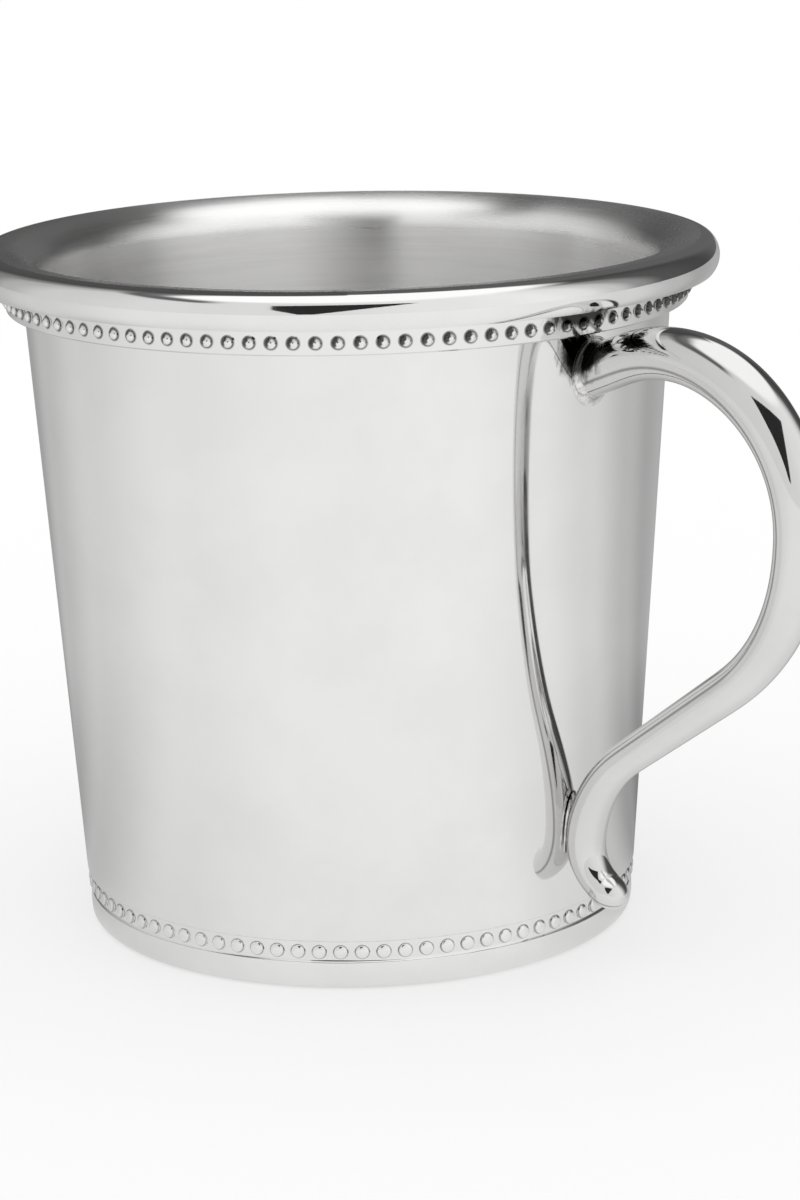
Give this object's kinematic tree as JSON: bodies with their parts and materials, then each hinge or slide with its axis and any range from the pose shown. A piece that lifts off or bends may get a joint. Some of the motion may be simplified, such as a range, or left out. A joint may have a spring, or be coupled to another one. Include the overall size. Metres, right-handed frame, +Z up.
{
  "type": "baby cup",
  "caption": "Small tapered metal baby cup with a rolled lip, beaded bands under the lip and above the foot, and an open scroll handle soldered to the wall.",
  "frame": {"origin": "middle of the flat underside of the cup", "axes": "+Z up along the cup's axis, +X towards the handle, +Y to the left when looking along +X"},
  "size_m": [0.088, 0.068, 0.0635],
  "materials": {
    "body_pewter": "polished outside, fine satin turning marks inside",
    "band_pewter": "polished beads",
    "handle_pewter": "polished casting",
    "solder": "bright, slightly grainy solder"
  },
  "bodies": {
    "root": {"cup_body": "body_pewter", "rim_beaded_band": "band_pewter", "foot_beaded_band": "band_pewter", "handle": "handle_pewter", "upper_handle_solder": "solder", "lower_handle_solder": "solder"}
  },
  "joints": []
}
